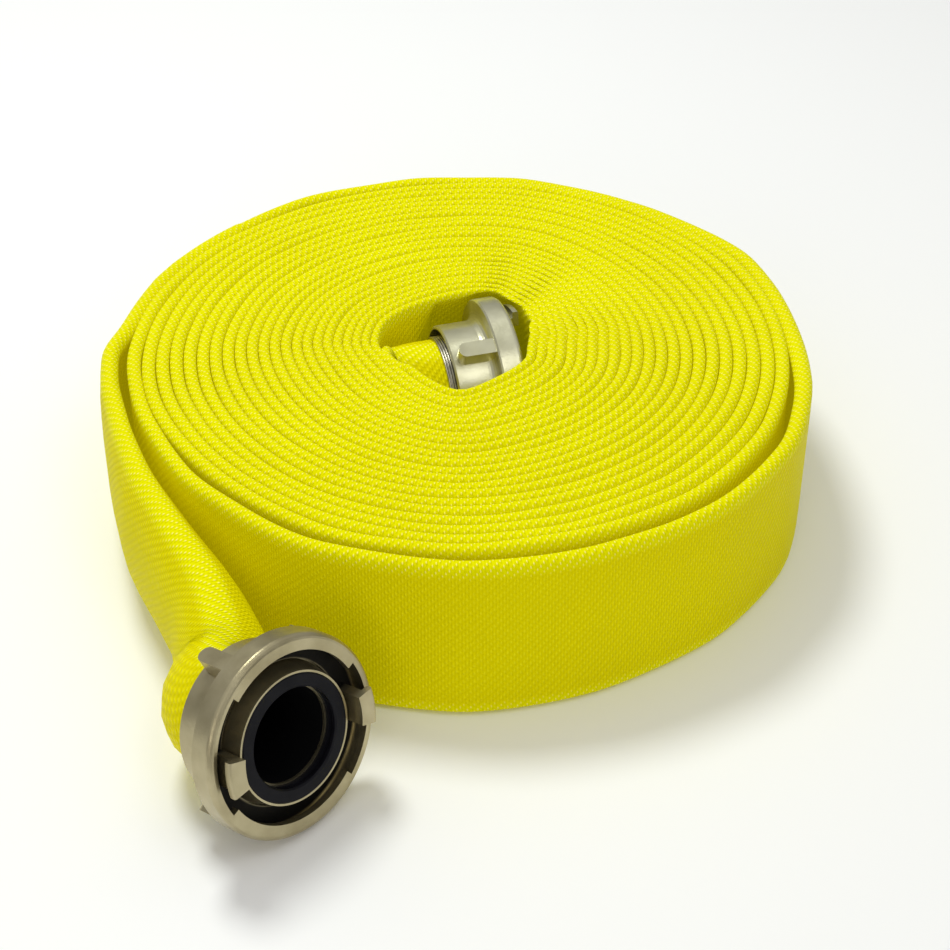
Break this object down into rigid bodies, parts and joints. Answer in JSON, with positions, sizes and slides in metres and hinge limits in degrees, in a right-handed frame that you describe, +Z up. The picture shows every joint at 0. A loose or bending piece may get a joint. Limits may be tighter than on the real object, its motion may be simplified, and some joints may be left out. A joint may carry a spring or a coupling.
{
  "type": "rolled fire hose",
  "caption": "Yellow lay-flat fire hose rolled on edge, with a claw coupling standing in its core and another lying in front at its free end.",
  "frame": {"origin": "centre of the whole object's footprint, on the floor it lies on", "axes": "+Z up along the roll's axis, -Y towards the outer coupling's side, +X to the right as seen from there"},
  "size_m": [0.4889, 0.616, 0.1268],
  "materials": {
    "hose_jacket": "tightly woven, coated",
    "hose_lining": "smooth",
    "coupling_metal": "satin forged, turned faces",
    "seal_rubber": "matt",
    "slide_plastic": "smooth",
    "spring_steel": "plain",
    "binding_wire": "drawn"
  },
  "bodies": {
    "hose": {"outer_hose_tail": "coupling_metal", "outer_seal_ring": "seal_rubber", "outer_slide_ring": "slide_plastic", "outer_snap_ring": "spring_steel", "outer_wire_binding": "binding_wire", "outer_hose_lining": "hose_lining", "outer_hose_end": "hose_jacket", "inner_hose_tail": "coupling_metal", "inner_seal_ring": "seal_rubber", "inner_slide_ring": "slide_plastic", "inner_snap_ring": "spring_steel", "inner_wire_binding": "binding_wire", "inner_hose_lining": "hose_lining", "inner_hose_end": "hose_jacket", "wound_hose": "hose_jacket"},
    "outer_head": {"outer_coupling_head": "coupling_metal"},
    "inner_head": {"inner_coupling_head": "coupling_metal"}
  },
  "joints": [
    {"name": "outer_swivel", "type": "hinge", "parent": "hose", "child": "outer_head", "pos_m": [-0.10514, -0.24722, 0.06062], "axis": [0.7144, -0.6501, 0.2588], "continuous": true},
    {"name": "inner_swivel", "type": "hinge", "parent": "hose", "child": "inner_head", "pos_m": [0.01762, 0.09487, 0.0638], "axis": [0.9613, 0.2756, 0], "continuous": true}
  ]
}
